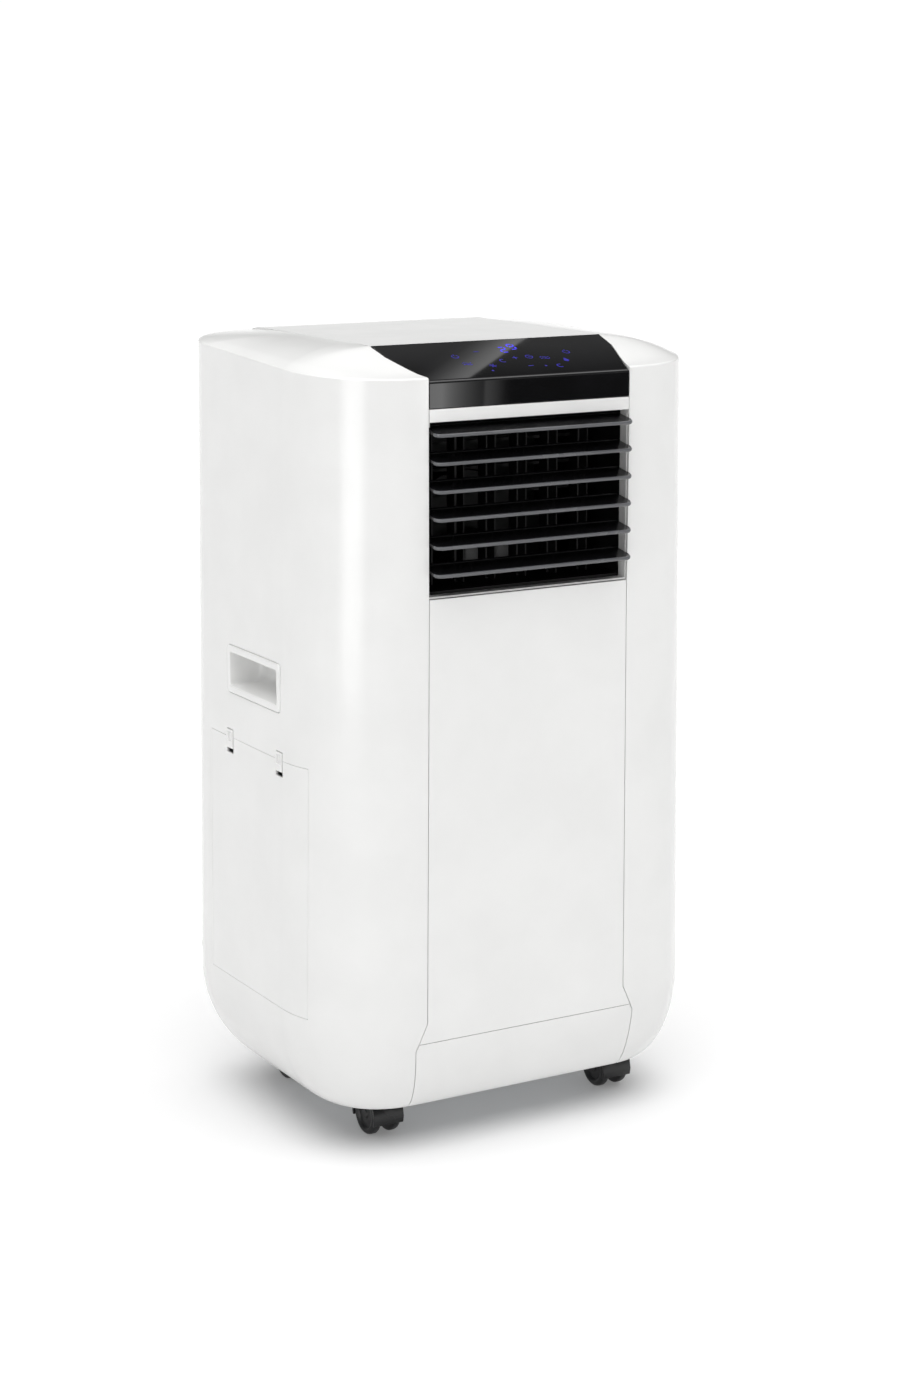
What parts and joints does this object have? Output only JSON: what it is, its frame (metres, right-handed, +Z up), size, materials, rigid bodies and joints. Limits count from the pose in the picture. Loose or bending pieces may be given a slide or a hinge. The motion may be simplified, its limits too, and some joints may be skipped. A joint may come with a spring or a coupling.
{
  "type": "portable air conditioner",
  "caption": "Upright white room air conditioner on casters, with a black display, tilting outlet louvers, hand holds, a service door and a rear hose port.",
  "frame": {"origin": "on the floor under the middle of the body", "axes": "+Z up, -Y the front where the air comes out, -X the side with the service door"},
  "size_m": [0.3952, 0.3352, 0.7],
  "materials": {
    "white_shell": "gloss white moulded ABS",
    "black_gloss": "high gloss black acrylic",
    "black_plastic": "satin black moulded ABS",
    "louver_plastic": "satin dark grey moulded ABS",
    "grey_plastic": "matt grey moulded polypropylene",
    "galvanised_steel": "zinc coated steel sheet",
    "coil_fins": "plain aluminium fins",
    "copper_pipe": "drawn copper tube",
    "compressor_paint": "black painted steel",
    "circuit_board": "green laminate",
    "caster_plastic": "black moulded nylon",
    "caster_wheel": "black moulded nylon tread"
  },
  "bodies": {
    "casing": {"base_pan": "galvanised_steel", "left_side_shell": "white_shell", "right_side_shell": "white_shell", "front_panel": "white_shell", "rear_panel": "white_shell", "display_cover": "black_gloss", "top_cover": "white_shell", "outlet_bezel": "white_shell", "outlet_liner": "black_plastic", "outlet_guard": "black_plastic", "swing_motor": "grey_plastic", "handle_cup_left": "white_shell", "handle_cup_right": "white_shell", "drain_spout": "grey_plastic", "exhaust_collar": "white_shell", "cord_gland": "black_plastic", "mid_deck": "grey_plastic", "evaporator_coil": "coil_fins", "evaporator_scroll": "grey_plastic", "evaporator_motor": "galvanised_steel", "condenser_coil": "coil_fins", "condenser_scroll": "grey_plastic", "condenser_motor": "galvanised_steel", "compressor": "compressor_paint", "suction_pipe": "copper_pipe", "discharge_pipe": "copper_pipe", "liquid_pipe": "copper_pipe", "display_board": "circuit_board", "control_box": "grey_plastic", "condensate_tank": "grey_plastic"},
    "louver_1": {"louver_1": "louver_plastic"},
    "louver_2": {"louver_2": "louver_plastic"},
    "louver_3": {"louver_3": "louver_plastic"},
    "louver_4": {"louver_4": "louver_plastic"},
    "louver_5": {"louver_5": "louver_plastic"},
    "louver_6": {"louver_6": "louver_plastic"},
    "louver_link": {"louver_link": "black_plastic"},
    "vane_1": {"vane_1": "black_plastic"},
    "vane_2": {"vane_2": "black_plastic"},
    "vane_3": {"vane_3": "black_plastic"},
    "vane_4": {"vane_4": "black_plastic"},
    "vane_5": {"vane_5": "black_plastic"},
    "vane_6": {"vane_6": "black_plastic"},
    "vane_link": {"vane_link": "black_plastic"},
    "evaporator_blower": {"evaporator_blower": "grey_plastic"},
    "condenser_blower": {"condenser_blower": "grey_plastic"},
    "service_door": {"service_door": "white_shell"},
    "door_latch_front": {"door_latch_front": "white_shell"},
    "door_latch_rear": {"door_latch_rear": "white_shell"},
    "upper_filter": {"upper_filter": "white_shell"},
    "lower_filter": {"lower_filter": "white_shell"},
    "drain_cap": {"drain_cap": "white_shell"},
    "caster_front_left_swivel": {"caster_front_left_hood": "caster_plastic"},
    "caster_front_left_wheels": {"caster_front_left_wheels": "caster_wheel"},
    "caster_rear_left_swivel": {"caster_rear_left_hood": "caster_plastic"},
    "caster_rear_left_wheels": {"caster_rear_left_wheels": "caster_wheel"},
    "caster_front_right_swivel": {"caster_front_right_hood": "caster_plastic"},
    "caster_front_right_wheels": {"caster_front_right_wheels": "caster_wheel"},
    "caster_rear_right_swivel": {"caster_rear_right_hood": "caster_plastic"},
    "caster_rear_right_wheels": {"caster_rear_right_wheels": "caster_wheel"}
  },
  "joints": [
    {"name": "louver_1_tilt", "type": "hinge", "parent": "casing", "child": "louver_1", "pos_m": [0, -0.13903, 0.637], "axis": [1, 0, 0], "range_deg": [-19, 29]},
    {"name": "louver_2_tilt", "type": "hinge", "parent": "casing", "child": "louver_2", "pos_m": [0, -0.13903, 0.6135], "axis": [1, 0, 0], "range_deg": [-19, 29]},
    {"name": "louver_3_tilt", "type": "hinge", "parent": "casing", "child": "louver_3", "pos_m": [0, -0.13903, 0.59], "axis": [1, 0, 0], "range_deg": [-19, 29]},
    {"name": "louver_4_tilt", "type": "hinge", "parent": "casing", "child": "louver_4", "pos_m": [0, -0.13903, 0.5665], "axis": [1, 0, 0], "range_deg": [-19, 29]},
    {"name": "louver_5_tilt", "type": "hinge", "parent": "casing", "child": "louver_5", "pos_m": [0, -0.13903, 0.543], "axis": [1, 0, 0], "range_deg": [-19, 29]},
    {"name": "louver_6_tilt", "type": "hinge", "parent": "casing", "child": "louver_6", "pos_m": [0, -0.13903, 0.5195], "axis": [1, 0, 0], "range_deg": [-19, 29]},
    {"name": "louver_link_turn", "type": "hinge", "parent": "louver_1", "child": "louver_link", "pos_m": [-0.06, -0.12864, 0.631], "axis": [1, 0, 0], "range_deg": [-29, 19]},
    {"name": "vane_1_turn", "type": "hinge", "parent": "casing", "child": "vane_1", "pos_m": [-0.0775, -0.108, 0.57], "axis": [0, 0, 1], "range_deg": [-30, 30]},
    {"name": "vane_2_turn", "type": "hinge", "parent": "casing", "child": "vane_2", "pos_m": [-0.0465, -0.108, 0.57], "axis": [0, 0, 1], "range_deg": [-30, 30]},
    {"name": "vane_3_turn", "type": "hinge", "parent": "casing", "child": "vane_3", "pos_m": [-0.0155, -0.108, 0.57], "axis": [0, 0, 1], "range_deg": [-30, 30]},
    {"name": "vane_4_turn", "type": "hinge", "parent": "casing", "child": "vane_4", "pos_m": [0.0155, -0.108, 0.57], "axis": [0, 0, 1], "range_deg": [-30, 30]},
    {"name": "vane_5_turn", "type": "hinge", "parent": "casing", "child": "vane_5", "pos_m": [0.0465, -0.108, 0.57], "axis": [0, 0, 1], "range_deg": [-30, 30]},
    {"name": "vane_6_turn", "type": "hinge", "parent": "casing", "child": "vane_6", "pos_m": [0.0775, -0.108, 0.57], "axis": [0, 0, 1], "range_deg": [-30, 30]},
    {"name": "vane_link_turn", "type": "hinge", "parent": "vane_1", "child": "vane_link", "pos_m": [-0.0775, -0.097, 0.5045], "axis": [0, 0, 1], "range_deg": [-30, 30]},
    {"name": "evaporator_blower_spin", "type": "hinge", "parent": "casing", "child": "evaporator_blower", "pos_m": [0, -0.045, 0.497], "axis": [0, 1, 0], "continuous": true},
    {"name": "condenser_blower_spin", "type": "hinge", "parent": "casing", "child": "condenser_blower", "pos_m": [0, 0.031, 0.151], "axis": [0, 1, 0], "continuous": true},
    {"name": "service_door_swing", "type": "hinge", "parent": "casing", "child": "service_door", "pos_m": [-0.19749, -0.0135, 0.125], "axis": [0, -1, 0], "range_deg": [0, 80]},
    {"name": "door_latch_front_press", "type": "slide", "parent": "service_door", "child": "door_latch_front", "axis": [0, 0, -1], "range_m": [0, 0.004], "stiffness_N_per_m": 150},
    {"name": "door_latch_rear_press", "type": "slide", "parent": "service_door", "child": "door_latch_rear", "axis": [0, 0, -1], "range_m": [0, 0.004], "stiffness_N_per_m": 150},
    {"name": "upper_filter_slide", "type": "slide", "parent": "casing", "child": "upper_filter", "axis": [0, 1, 0], "range_m": [0, 0.06]},
    {"name": "lower_filter_slide", "type": "slide", "parent": "casing", "child": "lower_filter", "axis": [0, 1, 0], "range_m": [0, 0.06]},
    {"name": "drain_cap_pull", "type": "slide", "parent": "casing", "child": "drain_cap", "axis": [0, 1, 0], "range_m": [0, 0.025]},
    {"name": "caster_front_left_swivel", "type": "hinge", "parent": "casing", "child": "caster_front_left_swivel", "pos_m": [-0.1115, -0.0725, 0.05], "axis": [0, 0, 1], "continuous": true},
    {"name": "caster_front_left_roll", "type": "hinge", "parent": "caster_front_left_swivel", "child": "caster_front_left_wheels", "pos_m": [-0.1115, -0.0825, 0.0185], "axis": [1, 0, 0], "continuous": true},
    {"name": "caster_rear_left_swivel", "type": "hinge", "parent": "casing", "child": "caster_rear_left_swivel", "pos_m": [-0.1115, 0.0885, 0.05], "axis": [0, 0, 1], "continuous": true},
    {"name": "caster_rear_left_roll", "type": "hinge", "parent": "caster_rear_left_swivel", "child": "caster_rear_left_wheels", "pos_m": [-0.1115, 0.0785, 0.0185], "axis": [1, 0, 0], "continuous": true},
    {"name": "caster_front_right_swivel", "type": "hinge", "parent": "casing", "child": "caster_front_right_swivel", "pos_m": [0.13, -0.0725, 0.05], "axis": [0, 0, 1], "continuous": true},
    {"name": "caster_front_right_roll", "type": "hinge", "parent": "caster_front_right_swivel", "child": "caster_front_right_wheels", "pos_m": [0.13, -0.0825, 0.0185], "axis": [1, 0, 0], "continuous": true},
    {"name": "caster_rear_right_swivel", "type": "hinge", "parent": "casing", "child": "caster_rear_right_swivel", "pos_m": [0.13, 0.0885, 0.05], "axis": [0, 0, 1], "continuous": true},
    {"name": "caster_rear_right_roll", "type": "hinge", "parent": "caster_rear_right_swivel", "child": "caster_rear_right_wheels", "pos_m": [0.13, 0.0785, 0.0185], "axis": [1, 0, 0], "continuous": true}
  ],
  "couplings": [
    {"joint": "louver_2_tilt", "follows": "louver_1_tilt", "ratio": 1},
    {"joint": "louver_3_tilt", "follows": "louver_1_tilt", "ratio": 1},
    {"joint": "louver_4_tilt", "follows": "louver_1_tilt", "ratio": 1},
    {"joint": "louver_5_tilt", "follows": "louver_1_tilt", "ratio": 1},
    {"joint": "louver_6_tilt", "follows": "louver_1_tilt", "ratio": 1},
    {"joint": "louver_link_turn", "follows": "louver_1_tilt", "ratio": -1},
    {"joint": "vane_2_turn", "follows": "vane_1_turn", "ratio": 1},
    {"joint": "vane_3_turn", "follows": "vane_1_turn", "ratio": 1},
    {"joint": "vane_4_turn", "follows": "vane_1_turn", "ratio": 1},
    {"joint": "vane_5_turn", "follows": "vane_1_turn", "ratio": 1},
    {"joint": "vane_6_turn", "follows": "vane_1_turn", "ratio": 1},
    {"joint": "vane_link_turn", "follows": "vane_1_turn", "ratio": -1}
  ]
}
